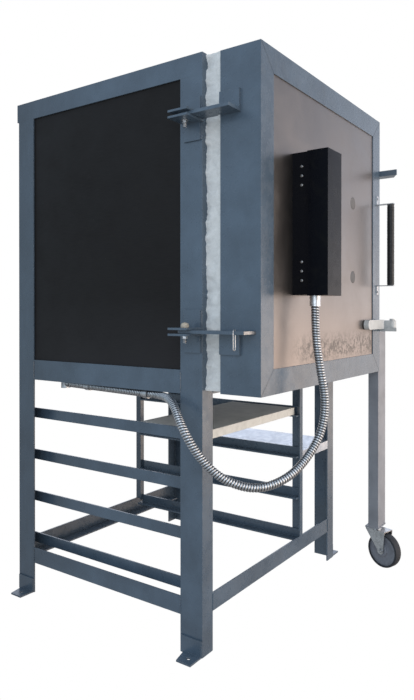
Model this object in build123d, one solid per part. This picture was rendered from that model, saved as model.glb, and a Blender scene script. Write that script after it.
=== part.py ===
from build123d import *
import math
import os

# Front-loading electric kiln on an angle-iron stand with a shelf rack, in millimetres.
# The origin is on the floor, midway between the four foot bolts, +X to the right, door at -Y.

# Frame of angle iron
frame_width = 880
frame_depth = 780
frame_height = 1672
angle_thickness = 5
post_side_leg = 76
post_face_leg = 51
top_ring_height = 60
top_ring_leg = 51
top_ring_overhang = 8
base_rail_bottom = 726
base_rail_height = 67
base_rail_leg = 51

# Lower stretchers and the shelf rack under the body
side_stretcher_bottom = 102
cross_stretcher_bottom = 112
stretcher_leg = 51
rack_width = 611
upright_side_leg = 38
upright_face_leg = 16
runner_leg = 34
runner_front_cut = 20
first_runner_bottom = 150
runner_pitch = 145.5
runner_count = 4
tray_top = 462
tray_thickness = 2
tray_lip = 30
tray_back_gap = 38

# Feet
foot_thickness = 5
foot_plate_width = 70
foot_plate_lead = 2
foot_height = 48
foot_tab_root = 60
foot_tab_width = 48
foot_reach = 54
foot_hole_radius = 6
foot_hole_reach = 29
foot_inset_front = 2
foot_inset_back = 24

# Casing and linings
sheet_thickness = 1.5
wall_thickness = 135
wiring_gap = 14
hearth_thickness = 120
chamber_height = 686
gasket_thickness = 59
gasket_inset = 22
gasket_bottom = 738
gasket_top = 1670
soft_clearance = 0.3

# Heating elements
groove_radius = 9
groove_depth = 7
coil_radius = 6.5
tail_radius = 3
tail_clearance = 0.4
wall_rows = 6
wall_row_margin = 55
wall_coil_start = 60
wall_coil_end = 160

# Door
door_width = 877
door_bottom = 735
door_height = 925
door_thickness = 126
door_gap = 0.5
door_wall = 3
trim_width = 68
peep_radius = 20.5
peep_clearance = 0.4
peep_x = 625
peep_heights = (1324, 1074)
peep_proud = -2.5
door_row_heights = (1030, 1145, 1260, 1375)
door_coil_start = 226
door_coil_end = 730

# Hinges
pivot_out = 40
pivot_back = 30
pivot_radius = 4.8
strap_thickness = 9
strap_outer = 60
strap_inner = 2
lower_strap_extra = 45
strap_clearance = 0.5
strap_hole_clearance = 0.09
lug_thickness = 6
lug_reach = 78
lug_front = -4
lug_back = 60
lug_leg_front = 4
lug_leg_length = 60
lug_hole_clearance = 0.15
hinge_heights = (1490, 903)
bolt_head_radius = 9.5
bolt_head_height = 12
bolt_head_round = 5
nut_across_flats = 14.3
nut_height = 8
bolt_end_length = 12
hinge_plate_thickness = 9
hinge_plate_width = 63
hinge_plate_bottom = 842
hinge_plate_top = 1546

# Element box on the door
box_left = 180
box_width = 92
box_bottom = 1002
box_height = 402
box_depth = 105
box_seam = 43
box_sheet = 1.5
box_step = 1.7
box_base_depth = 94
box_screw_radius = 4.5
box_screw_head = 3.5
box_screw_depth = 26
box_screw_heights = (1044, 1070, 1096, 1310, 1336, 1362)

# Door handle
handle_x = 850
handle_bottom = 1053
handle_length = 294
grip_radius = 13
grip_stand_off = 51
bracket_width = 18
bracket_thickness = 3
bracket_foot = 34
bracket_screw_radius = 3.5
bracket_screw_head = 2.5

# Latch
arm_thickness = 6
arm_width = 45
arm_clearance = 1
arm_reach = 247
arm_overlap = 66
arm_cut = 24
arm_heights = (1459, 892)
upper_arm_leg = 20
lower_arm_leg = 14
lever_pivot_reach = 225
lever_length = 75
lever_width = 28
lever_height = 26
lever_bolt_radius = 6
lever_bolt_clearance = 0.09
keeper_length = 158
keeper_height = 34
keeper_proud = 18
keeper_rise = 1

# Door leg and caster
leg_width = 76
leg_depth = 38
leg_setback = 4
leg_wall = 3
leg_top = 882
wheel_radius = 63.5
wheel_width = 32
wheel_hub_radius = 22
wheel_hub_width = 40
wheel_web = 24
tyre_thickness = 8
axle_radius = 5
axle_clearance = 0.08
caster_trail = 40
caster_turn = -16
fork_wall = 4
fork_gap = 44
fork_arm_width = 34
fork_end_radius = 12
fork_crown_gap = 6
caster_plate_depth = 52
caster_plate_lead = 2
caster_plate_thickness = 5
swivel_radius = 25
swivel_height = 7
swivel_clearance = 0.3
kingpin_radius = 6
kingpin_clearance = 0.09
kingpin_nut = 18
kingpin_nut_height = 4
axle_end = 7

# Stored kiln shelf
shelf_depth = 260
shelf_thickness = 25.5
shelf_side_gap = 1.5
shelf_inset = 22

# Control cabinet on the right side
cabinet_depth = 155
cabinet_front = 150
cabinet_width = 350
cabinet_bottom = 950
cabinet_height = 400
cabinet_sheet = 1.5
controller_size = 96
controller_depth = 62
controller_bezel = 6
controller_z = 1265
knob_radius = 28
knob_height = 26
knob_z = 1080
knob_shaft_radius = 5
knob_shaft_clearance = 0.09
contactor_size = (85, 60, 80)
contactor_pitch = 90
contactor_z = 1030
gland_radius = 18
gland_bore = 11
gland_height = 40
probe_radius = 4
probe_reach = 30
probe_z = 1195
probe_head = 34

# Flexible conduit
conduit_radius = 12
conduit_root_radius = 10.6
conduit_bore_radius = 8.5
rib_pitch = 7.5
connector_radius = 15.5
connector_height = 31
connector_x = 218
connector_y = -235
nipple_radius = 9
nipple_clearance = 0.3
locknut_radius = 14
locknut_height = 4
conduit_drop = 12.5
run_start_x = 20
run_start_y = 206
run_end_x = 64
run_end_y = 590
clamp_width = 22
clamp_thickness = 2
clamp_tab = 16
clamp_places = (14, 290)
elbow_length = 30
last_run = 60
hose_points = (
    (222.8, -249.6, 789.1),
    (234.1, -261.6, 700.3),
    (230.5, -249.5, 614.5),
    (182.1, -229.4, 550.4),
    (107.2, -210.7, 507.9),
    (37.5, -158.8, 483.0),
    (-17.9, -96.5, 504.0),
    (-51.2, -39.8, 553.6),
    (-78.3, 8.2, 640.5),
    (-35.8, 74.6, 706.8),
)

# Sides of the frame, and heights that several pieces share
left = -frame_width / 2
right = frame_width / 2
front = -(frame_depth + foot_inset_front - foot_inset_back) / 2
back = front + frame_depth
post_top = frame_height - top_ring_height
base_rail_top = base_rail_bottom + base_rail_height
pan_bottom = base_rail_bottom + angle_thickness
pan_top = pan_bottom + sheet_thickness
chamber_floor = pan_top + hearth_thickness
chamber_ceiling = chamber_floor + chamber_height
lid_bottom = frame_height - angle_thickness - sheet_thickness
cover_left = left + angle_thickness
cover_right = right - angle_thickness
cover_back = back - angle_thickness
inner_left = cover_left + sheet_thickness
inner_right = cover_right - sheet_thickness
inner_back = cover_back - sheet_thickness
inner_front = front + angle_thickness
chamber_left = left + wall_thickness
chamber_right = right - wall_thickness
chamber_back = back - wall_thickness
door_back = front - gasket_thickness - door_gap
door_front = door_back - door_thickness
door_left = left
door_right = left + door_width
door_top = door_bottom + door_height
panel_back = door_front + door_wall + sheet_thickness
rack_right = left + rack_width
pivot_x = left - pivot_out
pivot_y = front + pivot_back
joint_z = base_rail_bottom - conduit_drop


def block(x0, x1, y0, y1, z0, z1):
    """Box between two opposite corners."""
    middle = Pos((x0 + x1) / 2, (y0 + y1) / 2, (z0 + z1) / 2)
    return middle * Box(abs(x1 - x0), abs(y1 - y0), abs(z1 - z0))


def rod_x(x0, x1, y, z, radius):
    """Round bar along X."""
    return Pos((x0 + x1) / 2, y, z) * Rot(0, 90, 0) * Cylinder(radius, abs(x1 - x0))


def rod_y(y0, y1, x, z, radius):
    """Round bar along Y."""
    return Pos(x, (y0 + y1) / 2, z) * Rot(90, 0, 0) * Cylinder(radius, abs(y1 - y0))


def rod_z(z0, z1, x, y, radius):
    """Round bar along Z."""
    return Pos(x, y, (z0 + z1) / 2) * Cylinder(radius, abs(z1 - z0))


def hexagon_z(z0, z1, x, y, across_flats):
    """Hexagonal nut with its axis along Z."""
    outline = RegularPolygon(across_flats / 2, 6, major_radius=False)
    return Pos(x, y, min(z0, z1)) * extrude(outline, abs(z1 - z0))


def plate_z(points, z0, thickness):
    """Flat plate of any outline, lying level."""
    return Pos(0, 0, z0) * extrude(make_face(Polyline(*points, close=True)), thickness)


def plate_x(points, x0, thickness):
    """Flat plate of any outline in Y and Z, standing square to X."""
    outline = Plane.YZ * make_face(Polyline(*points, close=True))
    return Pos(x0, 0, 0) * extrude(outline, thickness)


def angle_along_y(x, inward, y0, y1, z0, tall, wide, leg_on_top=False):
    """Angle iron along Y, its upright leg's outer face at x and its flat leg pointing inward."""
    upright = block(x, x + inward * angle_thickness, y0, y1, z0, z0 + tall)
    level = z0 + tall - angle_thickness if leg_on_top else z0
    return upright + block(x, x + inward * wide, y0, y1, level, level + angle_thickness)


def angle_along_x(y, inward, x0, x1, z0, tall, wide):
    """Angle iron along X, its upright leg's outer face at y and its flat leg at the bottom."""
    upright = block(x0, x1, y, y + inward * angle_thickness, z0, z0 + tall)
    return upright + block(x0, x1, y, y + inward * wide, z0, z0 + angle_thickness)


def angle_upright(x, side_x, y, side_y, z0, z1, leg_y, leg_x):
    """Upright angle iron with its outer corner at x, y."""
    along_y = block(x, x + side_x * angle_thickness, y, y + side_y * leg_y, z0, z1)
    return along_y + block(x, x + side_x * leg_x, y, y + side_y * angle_thickness, z0, z1)


def save(name, *pieces):
    """Write one sub-part, a single solid or a group of separate solids."""
    solids = [solid for piece in pieces for solid in piece.solids()]
    shape = solids[0] if len(solids) == 1 else Compound(solids)
    export_step(shape, "parts/" + name + ".step")


# Posts, one at each corner
def post(x, side_x, y, side_y):
    return angle_upright(x, side_x, y, side_y, 0, post_top, post_side_leg, post_face_leg)


# Foot clips: an upright tab on the post's side and a flat tab outward with its bolt hole
def foot_clip(x, outward, y0, hole_y):
    upright = block(x, x + outward * foot_thickness, y0, y0 + foot_plate_width, 0, foot_height)
    tip = x + outward * foot_reach
    outline = [(x, y0), (tip, hole_y - foot_tab_width / 2), (tip, hole_y + foot_tab_width / 2),
               (x, y0 + foot_tab_root)]
    hole_x = x + outward * foot_hole_reach
    hole = rod_z(-1, foot_thickness + 1, hole_x, hole_y, foot_hole_radius)
    return upright + plate_z(outline, 0, foot_thickness) - hole


def foot_clips():
    clips = []
    half = foot_tab_width / 2
    front_hole = front + foot_inset_front + half
    back_hole = back - foot_inset_back - half
    for x, outward in ((left, -1), (right, 1)):
        clips.append(foot_clip(x, outward, front_hole - half, front_hole))
        clips.append(foot_clip(x, outward, back_hole - half - foot_plate_lead, back_hole))
    return clips


# Welded ring of angle iron on the posts' tops, overhanging a little at the back
def top_ring():
    t = angle_thickness
    ring_back = back + top_ring_overhang
    outer = block(left, right, front, ring_back, post_top, frame_height)
    inside = block(left + t, right - t, front + t, ring_back - t, post_top, frame_height - t)
    w = top_ring_leg
    opening = block(left + w, right - w, front + w, ring_back - w, post_top, frame_height)
    return outer - inside - opening


# Rails that carry the body, between the posts
def base_side_rail(x, inward):
    y0 = front + post_side_leg
    y1 = back - post_side_leg
    return angle_along_y(x, inward, y0, y1, base_rail_bottom, base_rail_height, base_rail_leg)


def base_cross_rail(y, inward):
    x0 = left + post_face_leg
    x1 = right - post_face_leg
    return angle_along_x(y, inward, x0, x1, base_rail_bottom, base_rail_height, base_rail_leg)


# Lower stretchers
def lower_left_rail():
    y0 = front + post_side_leg
    y1 = back - post_side_leg
    return angle_along_y(left, 1, y0, y1, side_stretcher_bottom, stretcher_leg, stretcher_leg)


def lower_cross_rail(y, inward):
    x0 = left + post_face_leg
    x1 = right - post_face_leg
    return angle_along_x(y, inward, x0, x1, cross_stretcher_bottom, stretcher_leg, stretcher_leg)


# Shelf rack: two uprights and pairs of runners
def rack_upright(y):
    z0 = cross_stretcher_bottom + stretcher_leg
    corner_x = rack_right + angle_thickness
    return angle_upright(corner_x, -1, y, 1, z0, base_rail_bottom,
                         upright_side_leg, upright_face_leg + angle_thickness)


def runner_bottoms():
    return [first_runner_bottom + runner_pitch * i for i in range(runner_count)]


def left_runner(z0):
    x = left + post_face_leg - angle_thickness
    y0 = front + angle_thickness
    y1 = back - angle_thickness
    runner = angle_along_y(x, 1, y0, y1, z0, runner_leg, runner_leg)
    return runner - block(x + angle_thickness, x + runner_leg, y0, y0 + runner_front_cut,
                          z0, z0 + angle_thickness)


def right_runner(z0):
    y0 = front + angle_thickness
    y1 = back - upright_side_leg
    return angle_along_y(rack_right, -1, y0, y1, z0, runner_leg, runner_leg)


# Sheet tray between the rack and the right posts, with a lip at its front
def side_tray():
    x0 = rack_right + angle_thickness
    x1 = right - post_face_leg
    low = tray_top - tray_thickness
    y1 = back - tray_back_gap
    sheet = block(x0, x1, front, y1, low, tray_top)
    wing = block(x1, right - angle_thickness, front + angle_thickness, y1, low, tray_top)
    lip = block(x0, x1, front, front + tray_thickness, tray_top - tray_lip, tray_top)
    return sheet + wing + lip


# Sheet covers
def side_cover(x0, x1):
    return block(x0, x1, inner_front, cover_back, pan_bottom, lid_bottom)


def right_cover():
    sheet = side_cover(inner_right, cover_right)
    hole = rod_x(inner_right - 1, cover_right + 1, probe_y(), probe_z,
                 probe_radius + tail_clearance)
    return sheet - hole


def rear_cover():
    return block(inner_left, inner_right, inner_back, cover_back, pan_bottom, lid_bottom)


def top_cover():
    return block(cover_left, cover_right, inner_front, cover_back,
                 lid_bottom, lid_bottom + sheet_thickness)


def floor_pan():
    pan = block(inner_left, inner_right, inner_front, inner_back, pan_bottom, pan_top)
    x, y = elbow_corner()
    return pan - rod_z(pan_bottom - 1, pan_top + 1, x, y, nipple_radius + nipple_clearance)


# Brick linings and the element grooves in them
def wall_row_heights():
    first = chamber_floor + wall_row_margin
    last = chamber_ceiling - wall_row_margin
    step = (last - first) / (wall_rows - 1)
    return [first + step * i for i in range(wall_rows)]


def row_pairs(heights):
    """Rows taken two by two, one element for each pair."""
    return [(heights[i], heights[i + 1]) for i in range(0, len(heights) - 1, 2)]


def coil_drop():
    """How far a coil's axis lies below its groove's, resting on the groove's floor."""
    return groove_radius - coil_radius - soft_clearance


def side_bricks(chamber_x, outward):
    outer = chamber_x + outward * (wall_thickness - angle_thickness - sheet_thickness - wiring_gap)
    wall = block(chamber_x, outer, inner_front, inner_back, chamber_floor, chamber_ceiling)
    axis_x = chamber_x + outward * groove_depth
    y0 = front + wall_coil_start
    y1 = chamber_back - wall_coil_end + wall_coil_start
    for low, high in row_pairs(wall_row_heights()):
        wall -= rod_y(y0 - coil_radius, y1, axis_x, low, groove_radius)
        wall -= rod_y(y0 - coil_radius, y1, axis_x, high, groove_radius)
        wall -= rod_z(low, high, axis_x, y0, groove_radius)
        for z in (low, high):
            wall -= rod_x(axis_x, outer + outward, y1 - tail_radius * 2, z - coil_drop(),
                          tail_radius + tail_clearance)
    return wall


def right_bricks():
    wall = side_bricks(chamber_right, 1)
    return wall - rod_x(chamber_right - 1, inner_right, probe_y(), probe_z,
                        probe_radius + tail_clearance)


def side_element(chamber_x, outward, low, high):
    axis_x = chamber_x + outward * groove_depth
    y0 = front + wall_coil_start
    y1 = chamber_back - wall_coil_end + wall_coil_start
    drop = coil_drop()
    tail_x = inner_left + wiring_gap / 3
    if outward > 0:
        tail_x = inner_right - wiring_gap / 3
    loop = rod_y(y0 - coil_radius, y1, axis_x, low - drop, coil_radius)
    loop += rod_y(y0 - coil_radius, y1, axis_x, high - drop, coil_radius)
    loop += rod_z(low - drop, high - drop, axis_x, y0, coil_radius - soft_clearance)
    for z in (low, high):
        loop += rod_x(axis_x, tail_x, y1 - tail_radius * 2, z - drop, tail_radius)
    return loop


def rear_bricks():
    return block(chamber_left, chamber_right, chamber_back, inner_back,
                 chamber_floor, chamber_ceiling)


def hearth_bricks():
    return block(inner_left, inner_right, inner_front, inner_back, pan_top, chamber_floor)


def roof_bricks():
    return block(inner_left, inner_right, inner_front, inner_back, chamber_ceiling, lid_bottom)


# Soft fibre frame between the body and the door
def fibre_gasket():
    x0 = left + gasket_inset
    x1 = right - gasket_inset
    z0 = gasket_bottom
    z1 = gasket_top
    ring = block(x0, x1, front - gasket_thickness, front, z0, z1)
    fill_x0 = left + post_face_leg + soft_clearance
    fill_x1 = right - post_face_leg - soft_clearance
    fill_z0 = base_rail_top + soft_clearance
    ring += block(fill_x0, fill_x1, front, inner_front, fill_z0, post_top - soft_clearance)
    mouth = block(chamber_left, chamber_right, front - gasket_thickness - 1, inner_front + 1,
                  chamber_floor, chamber_ceiling)
    return ring - mouth


# Door shell with its front trim, panel and lining
def door_frame():
    shell = block(door_left, door_right, door_front, door_back, door_bottom, door_top)
    w = door_wall
    shell -= block(door_left + w, door_right - w, door_front + w, door_back,
                   door_bottom + w, door_top - w)
    t = trim_width
    return shell - block(door_left + t, door_right - t, door_front, door_front + w,
                         door_bottom + t, door_top - t)


def peep_holes(y0, y1, radius):
    return [rod_y(y0, y1, left + peep_x, z, radius) for z in peep_heights]


def tail_holes(y0, y1, radius):
    x = left + door_coil_start + tail_radius * 2
    return [rod_y(y0, y1, x, z - coil_drop(), radius) for z in door_row_heights]


def door_panel():
    w = door_wall
    sheet = block(door_left + w, door_right - w, door_front + w, panel_back,
                  door_bottom + w, door_top - w)
    for hole in peep_holes(door_front, panel_back + 1, peep_radius):
        sheet -= hole
    for hole in tail_holes(door_front, panel_back + 1, tail_radius * 2):
        sheet -= hole
    return sheet


def door_bricks():
    w = door_wall
    lining = block(door_left + w, door_right - w, panel_back, door_back,
                   door_bottom + w, door_top - w)
    for hole in peep_holes(panel_back - 1, door_back + 1, peep_radius):
        lining -= hole
    for hole in tail_holes(panel_back - 1, door_back - groove_depth, tail_radius + tail_clearance):
        lining -= hole
    axis_y = door_back - groove_depth
    x0 = left + door_coil_start
    x1 = left + door_coil_end
    for low, high in row_pairs(door_row_heights):
        lining -= rod_x(x0, x1 + coil_radius, axis_y, low, groove_radius)
        lining -= rod_x(x0, x1 + coil_radius, axis_y, high, groove_radius)
        lining -= rod_z(low, high, x1, axis_y, groove_radius)
    return lining


def door_element(low, high):
    axis_y = door_back - groove_depth
    x0 = left + door_coil_start
    x1 = left + door_coil_end
    drop = coil_drop()
    tail_y = door_front - box_seam / 2
    loop = rod_x(x0, x1 + coil_radius, axis_y, low - drop, coil_radius)
    loop += rod_x(x0, x1 + coil_radius, axis_y, high - drop, coil_radius)
    loop += rod_z(low - drop, high - drop, x1, axis_y, coil_radius - soft_clearance)
    for z in (low, high):
        loop += rod_y(axis_y, tail_y, x0 + tail_radius * 2, z - drop, tail_radius)
    return loop


# Peep plug: a plain ceramic stopper through the door
def peep_plug(z):
    return rod_y(door_front - peep_proud, door_back - groove_depth, left + peep_x, z,
                 peep_radius - peep_clearance)


# Hinges: angle lugs on the post, angle straps on the door, and bolts as pins
def hinge_lug(z, upward):
    gap = strap_thickness / 2 + strap_clearance
    near = z + upward * gap
    far = near + upward * lug_thickness
    y1 = front + lug_back
    lug = block(left - lug_reach, left, front + lug_front, y1, near, far)
    lug += block(left - lug_thickness, left, front + lug_leg_front, y1,
                 near, z + upward * lug_leg_length)
    return lug - rod_z(near - upward, far + upward, pivot_x, pivot_y,
                       pivot_radius + lug_hole_clearance)


def hinge_lugs():
    return [hinge_lug(z, upward) for z in hinge_heights for upward in (1, -1)]


def hinge_bolt(z):
    half = strap_thickness / 2 + strap_clearance + lug_thickness
    end = z - half - nut_height - bolt_end_length
    bolt = rod_z(end, z + half, pivot_x, pivot_y, pivot_radius)
    cap = rod_z(z + half, z + half + bolt_head_height, pivot_x, pivot_y, bolt_head_radius)
    bolt += fillet(cap.edges().sort_by(Axis.Z)[-1], bolt_head_round)
    return bolt + hexagon_z(z - half - nut_height, z - half, pivot_x, pivot_y, nut_across_flats)


def hinge_strap(z, extra):
    plate_face = left - hinge_plate_thickness
    plate_back = door_back - strap_inner
    plate_front = plate_back - hinge_plate_width
    outline = [
        (left - strap_inner, pivot_y),
        (left - strap_inner, plate_back + hinge_plate_thickness),
        (plate_face, plate_back),
        (plate_face, plate_front),
    ]
    if extra:
        outline += [(left, plate_front), (left, plate_front - extra)]
    outline += [(left - strap_outer, plate_front - extra), (left - strap_outer, pivot_y)]
    z0 = z - strap_thickness / 2
    strap = plate_z(outline, z0, strap_thickness)
    strap += rod_z(z0, z0 + strap_thickness, pivot_x, pivot_y, strap_outer - pivot_out)
    return strap - rod_z(z0 - 1, z0 + strap_thickness + 1, pivot_x, pivot_y,
                         pivot_radius + strap_hole_clearance)


def hinge_plate(z0, z1):
    y1 = door_back - strap_inner
    return block(left - hinge_plate_thickness, left, y1 - hinge_plate_width, y1, z0, z1)


def door_straps():
    upper, lower = hinge_heights
    half = strap_thickness / 2
    return [hinge_strap(upper, 0), hinge_plate(upper - half, hinge_plate_top),
            hinge_strap(lower, lower_strap_extra), hinge_plate(hinge_plate_bottom, lower + half)]


# Element box: a base on the door panel and a deeper cover over it
def element_box_base():
    s = box_sheet
    x0 = left + box_left + box_step
    x1 = left + box_left + box_width - box_step
    z0 = box_bottom + box_step
    z1 = box_bottom + box_height - box_step
    panel_face = door_front + door_wall
    tray = block(x0, x1, panel_face, door_front - box_base_depth, z0, z1)
    tray -= block(x0 + s, x1 - s, panel_face - s, door_front - box_base_depth, z0 + s, z1 - s)
    tray -= rod_z(z0 - 1, z0 + s + 1, left + connector_x, front + connector_y,
                  nipple_radius + nipple_clearance)
    for hole in tail_holes(panel_face - s - 1, panel_face + 1, tail_radius * 2):
        tray -= hole
    return tray


def element_box_cover():
    s = box_sheet
    x0 = left + box_left
    x1 = x0 + box_width
    z0 = box_bottom
    z1 = z0 + box_height
    seam_y = door_front - box_seam
    cover = block(x0, x1, seam_y, door_front - box_depth, z0, z1)
    cover -= block(x0 + s, x1 - s, seam_y, door_front - box_depth + s, z0 + s, z1 - s)
    half = connector_radius + box_sheet
    slot_y = front + connector_y - half
    return cover - block(left + connector_x - half, left + connector_x + half, seam_y, slot_y,
                         z0 - 1, z0 + s + 1)


def element_box_screws():
    wall_x = left + box_left + box_step
    y = door_front - box_screw_depth
    heads = []
    for z in box_screw_heights:
        heads.append(rod_x(wall_x - box_screw_head, wall_x, y, z, box_screw_radius))
    return heads


# Handle: a round grip between two bent flat brackets on the trim
def handle_grip():
    return rod_z(handle_bottom, handle_bottom + handle_length, left + handle_x,
                 door_front - grip_stand_off, grip_radius)


def handle_bracket(z0, foot_side):
    x0 = left + handle_x - bracket_width / 2
    x1 = x0 + bracket_width
    tip_y = door_front - grip_stand_off - grip_radius
    arm = block(x0, x1, tip_y, door_front, z0, z0 + bracket_thickness)
    foot_z0 = z0 if foot_side > 0 else z0 + bracket_thickness
    foot_z1 = foot_z0 + foot_side * bracket_foot
    foot = block(x0, x1, door_front - bracket_thickness, door_front, foot_z0, foot_z1)
    screw_z = foot_z0 + foot_side * bracket_foot * 0.7
    face_y = door_front - bracket_thickness
    screw = rod_y(face_y - bracket_screw_head, face_y, left + handle_x, screw_z,
                  bracket_screw_radius)
    return arm + foot + screw


def handle_brackets():
    top = handle_bottom + handle_length
    return [handle_bracket(top, 1), handle_bracket(handle_bottom - bracket_thickness, -1)]


# Latch: an arm on the right post at each height, a swinging lever and its keeper on the door
def latch_arm(z0, leg_bottom, leg_top):
    x0 = right
    x1 = x0 + arm_width
    tip = front - arm_reach
    root = front + arm_overlap
    inner = x0 + arm_clearance
    outline = [(x0, root), (x1, root), (x1, tip + arm_cut), (inner, tip), (inner, front),
               (x0, front)]
    arm = plate_z(outline, z0, arm_thickness)
    arm += block(inner, inner + arm_thickness, tip, front, leg_bottom, leg_top)
    return arm + block(x0, x0 + arm_thickness, front, root, leg_bottom, leg_top)


def lever_axis():
    return right + arm_width / 2, front - lever_pivot_reach


def latch_arms():
    x, y = lever_axis()
    upper_z, lower_z = arm_heights
    upper = latch_arm(upper_z, upper_z, upper_z + upper_arm_leg)
    bolt_bottom = lower_z + arm_thickness
    lower = latch_arm(lower_z, bolt_bottom - lower_arm_leg, bolt_bottom)
    bolt_top = bolt_bottom + lever_height + soft_clearance
    lower += rod_z(bolt_bottom, bolt_top, x, y, lever_bolt_radius)
    lower += rod_z(bolt_top, bolt_top + arm_thickness, x, y, lever_bolt_radius * 1.6)
    return [upper, lower]


def latch_lever():
    x, y = lever_axis()
    z0 = arm_heights[1] + arm_thickness + soft_clearance / 2
    half = lever_width / 2
    z1 = z0 + lever_height - soft_clearance / 2
    lever = block(x - half, x + half, y, y + lever_length - half, z0, z1)
    lever += rod_z(z0, z1, x, y, half)
    lever += rod_z(z0, z1, x, y + lever_length - half, half)
    return lever - rod_z(z0 - 1, z1 + 1, x, y, lever_bolt_radius + lever_bolt_clearance)


def latch_keeper():
    z0 = arm_heights[1] + keeper_rise
    x1 = door_right - arm_clearance
    x0 = x1 - keeper_length
    half = keeper_height / 2
    bar = block(x0 + half, x1, door_front - keeper_proud, door_front, z0, z0 + keeper_height)
    return bar + rod_y(door_front - keeper_proud, door_front, x0 + half, z0 + half, half)


# Door leg with its caster
def leg_x():
    return door_right + leg_width / 2


def leg_front():
    return door_front + leg_setback


def swivel_y():
    return leg_front() - caster_plate_lead + caster_plate_depth / 2


def plate_z_top():
    return 2 * wheel_radius + fork_crown_gap + fork_wall + swivel_height + caster_plate_thickness


def door_leg():
    x0 = door_right
    x1 = x0 + leg_width
    y0 = leg_front()
    y1 = y0 + leg_depth
    w = leg_wall
    z0 = plate_z_top()
    tube = block(x0, x1, y0, y1, z0, leg_top)
    tube -= block(x0 + w, x1 - w, y0 + w, y1 - w, z0, leg_top - w)
    half = caster_plate_depth / 2
    plate = block(x0, x1, swivel_y() - half, swivel_y() + half, z0 - caster_plate_thickness, z0)
    pin_low = z0 - caster_plate_thickness - swivel_height - fork_wall - swivel_clearance
    pin = rod_z(pin_low, z0, leg_x(), swivel_y(), kingpin_radius)
    nut = hexagon_z(pin_low - kingpin_nut_height, pin_low, leg_x(), swivel_y(), kingpin_nut)
    return tube + plate + pin + nut


def wheel_centre():
    """Centre of the wheel with the caster pointing straight to the front."""
    return leg_x(), swivel_y() - caster_trail, wheel_radius


def turned(piece):
    """Turn a piece of the caster about its swivel, as it stands under the closed door."""
    return Pos(leg_x(), swivel_y(), 0) * Rot(0, 0, caster_turn) * Pos(-leg_x(), -swivel_y(), 0) * piece


def fork_arm(x0):
    x, y, z = wheel_centre()
    crown_low = wheel_radius * 2 + fork_crown_gap
    outline = [(y - fork_arm_width / 2, crown_low), (swivel_y() + swivel_radius, crown_low),
               (y + fork_end_radius, z), (y - fork_end_radius, z)]
    return plate_x(outline, x0, fork_wall) + rod_x(x0, x0 + fork_wall, y, z, fork_end_radius)


def caster_fork():
    x, y, z = wheel_centre()
    crown_top = plate_z_top() - caster_plate_thickness - swivel_clearance
    crown_low = crown_top - swivel_height - fork_wall + swivel_clearance
    race = rod_z(crown_low + fork_wall, crown_top, leg_x(), swivel_y(), swivel_radius)
    half = fork_gap / 2
    crown = block(x - half - fork_wall, x + half + fork_wall, y - fork_arm_width / 2,
                  swivel_y() + swivel_radius, crown_low, crown_low + fork_wall)
    fork = race + crown + fork_arm(x - half - fork_wall) + fork_arm(x + half)
    fork -= rod_x(x - half - fork_wall - 1, x + half + fork_wall + 1, y, z,
                  axle_radius + lug_hole_clearance)
    return fork - rod_z(crown_low - 1, crown_top + 1, leg_x(), swivel_y(),
                        kingpin_radius + kingpin_clearance)


def caster_axle():
    x, y, z = wheel_centre()
    half = fork_gap / 2 + fork_wall
    axle = rod_x(x - half - axle_end, x + half + axle_end, y, z, axle_radius)
    for side in (-1, 1):
        axle += rod_x(x + side * half, x + side * (half + axle_end * 0.7), y, z, axle_radius * 1.8)
    return axle


def caster_wheel():
    x, y, z = wheel_centre()
    half = wheel_width / 2
    wheel = rod_x(x - half, x + half, y, z, wheel_radius)
    rim_radius = wheel_radius - tyre_thickness
    for side in (-1, 1):
        wheel -= rod_x(x + side * wheel_web / 2, x + side * (half + 1), y, z, rim_radius)
    wheel += rod_x(x - wheel_hub_width / 2, x + wheel_hub_width / 2, y, z, wheel_hub_radius)
    return wheel - rod_x(x - half * 2, x + half * 2, y, z, axle_radius + axle_clearance)


# Kiln shelf stored on the top pair of runners
def stored_shelf():
    z0 = runner_bottoms()[-1] + angle_thickness
    x0 = left + post_face_leg + shelf_side_gap
    x1 = rack_right - upright_face_leg - shelf_side_gap
    y0 = front + shelf_inset
    return block(x0, x1, y0, y0 + shelf_depth, z0, z0 + shelf_thickness)


# Control cabinet, hidden from the front left
def cabinet_x():
    """Inside and outside faces of the cabinet."""
    return cover_right, cover_right + cabinet_depth


def cabinet_y():
    return front + cabinet_front, front + cabinet_front + cabinet_width


def probe_y():
    return sum(cabinet_y()) / 2


def control_cabinet():
    s = cabinet_sheet
    x0, x1 = cabinet_x()
    y0, y1 = cabinet_y()
    z1 = cabinet_bottom + cabinet_height
    box = block(x0, x1 - s, y0, y1, cabinet_bottom, z1)
    box -= block(x0 + s, x1, y0 + s, y1 - s, cabinet_bottom + s, z1 - s)
    gland_x = (x0 + x1) / 2
    box -= rod_z(cabinet_bottom - 1, cabinet_bottom + s + 1, gland_x, probe_y(),
                 gland_radius * 0.7 + nipple_clearance)
    return box - rod_x(x0 - 1, x0 + s + 1, probe_y(), probe_z, probe_radius + tail_clearance)


def cabinet_cover():
    s = cabinet_sheet
    x1 = cabinet_x()[1]
    y0, y1 = cabinet_y()
    z1 = cabinet_bottom + cabinet_height
    cover = block(x1 - s, x1, y0, y1, cabinet_bottom, z1)
    half = controller_size / 2 - controller_bezel
    cover -= block(x1 - s - 1, x1 + 1, probe_y() - half, probe_y() + half,
                   controller_z - half, controller_z + half)
    return cover - rod_x(x1 - s - 1, x1 + 1, probe_y(), knob_z,
                         knob_shaft_radius + knob_shaft_clearance)


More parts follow.
